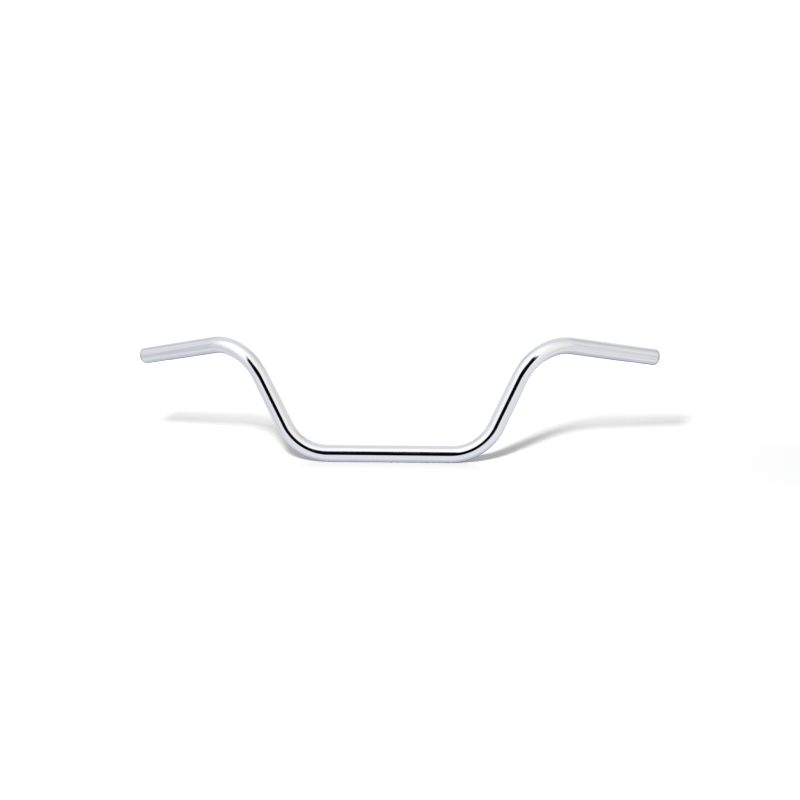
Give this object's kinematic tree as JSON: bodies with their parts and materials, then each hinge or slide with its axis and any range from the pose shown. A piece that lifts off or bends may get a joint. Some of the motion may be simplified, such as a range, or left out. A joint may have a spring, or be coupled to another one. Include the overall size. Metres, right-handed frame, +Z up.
{
  "type": "motorcycle handlebar",
  "caption": "Bare chrome-plated handlebar: a bent round tube with a straight clamp section, leaning uprights, swept grips and domed end plugs.",
  "frame": {"origin": "middle of the clamp section, on the tube's axis", "axes": "+X along the clamp section towards the rider's left grip, +Y back towards the rider, the way the grips sweep, +Z up, the way the uprights rise"},
  "size_m": [0.8284, 0.1394, 0.1897],
  "materials": {
    "tube_chrome": "bright mirror-polished chrome plate on steel tube",
    "plug_chrome": "bright polished chrome plate on turned steel"
  },
  "bodies": {
    "root": {"handlebar_tube": "tube_chrome", "end_plug_left": "plug_chrome", "end_plug_right": "plug_chrome"}
  },
  "joints": []
}
